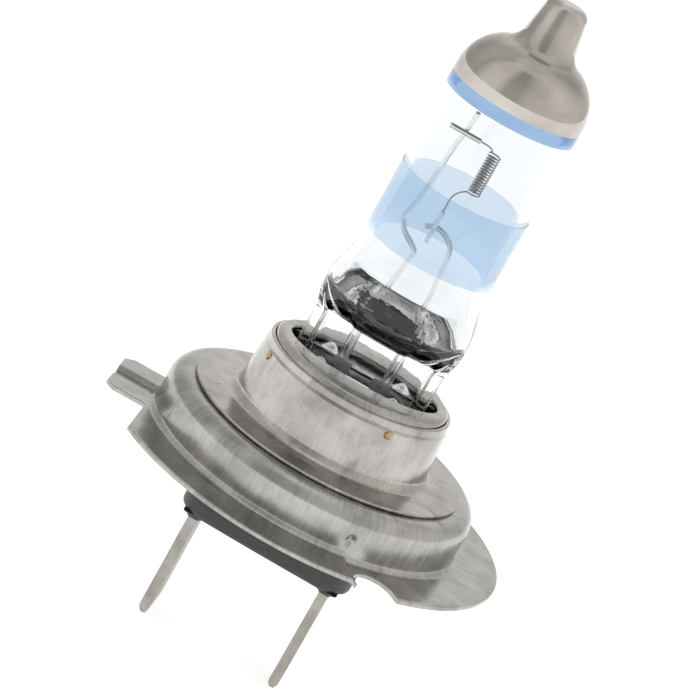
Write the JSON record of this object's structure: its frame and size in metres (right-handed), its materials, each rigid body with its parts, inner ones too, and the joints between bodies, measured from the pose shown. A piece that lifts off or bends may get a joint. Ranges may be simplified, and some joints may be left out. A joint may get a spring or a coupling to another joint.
{
  "type": "headlight bulb",
  "caption": "Single-filament halogen headlight bulb with a quartz capsule, mirror tip, blue bands, stepped steel prefocus base and two blade terminals.",
  "frame": {"origin": "on the lamp axis, at the flange's upper face, which seats on the lamp holder", "axes": "+Z along the lamp axis from the base towards the glass tip, +X along the pinch seal and the terminals with the keying tab at -X, +Y across the terminals' broad faces"},
  "size_m": [0.0334, 0.0328, 0.0573],
  "materials": {
    "quartz_glass": "clear polished",
    "mirror_coating": "warm mirror",
    "deep_blue_coating": "translucent blue",
    "pale_blue_coating": "translucent pale blue",
    "tungsten": "drawn wire",
    "molybdenum": "drawn wire",
    "sealing_foil": "matt foil",
    "bright_steel": "bright",
    "satin_steel": "satin, drawn",
    "weld_metal": "heat tinted",
    "dark_plastic": "moulded",
    "terminal_metal": "dull plated"
  },
  "bodies": {
    "root": {"glass_envelope": "quartz_glass", "mirror_cap": "mirror_coating", "upper_blue_band": "deep_blue_coating", "middle_blue_band": "pale_blue_coating", "filament_coil": "tungsten", "long_lead_wire": "molybdenum", "short_lead_wire": "molybdenum", "upper_post": "molybdenum", "lower_post": "molybdenum", "left_sealing_foil": "sealing_foil", "right_sealing_foil": "sealing_foil", "left_outer_lead": "molybdenum", "right_outer_lead": "molybdenum", "pinch_clip": "bright_steel", "holder_cup": "satin_steel", "adjusting_sleeve": "satin_steel", "sleeve_welds": "weld_metal", "brim_welds": "weld_metal", "collar_flange": "satin_steel", "rear_plate": "satin_steel", "insulator": "dark_plastic", "left_terminal": "terminal_metal", "right_terminal": "terminal_metal", "left_lead_weld": "weld_metal", "right_lead_weld": "weld_metal"}
  },
  "joints": []
}
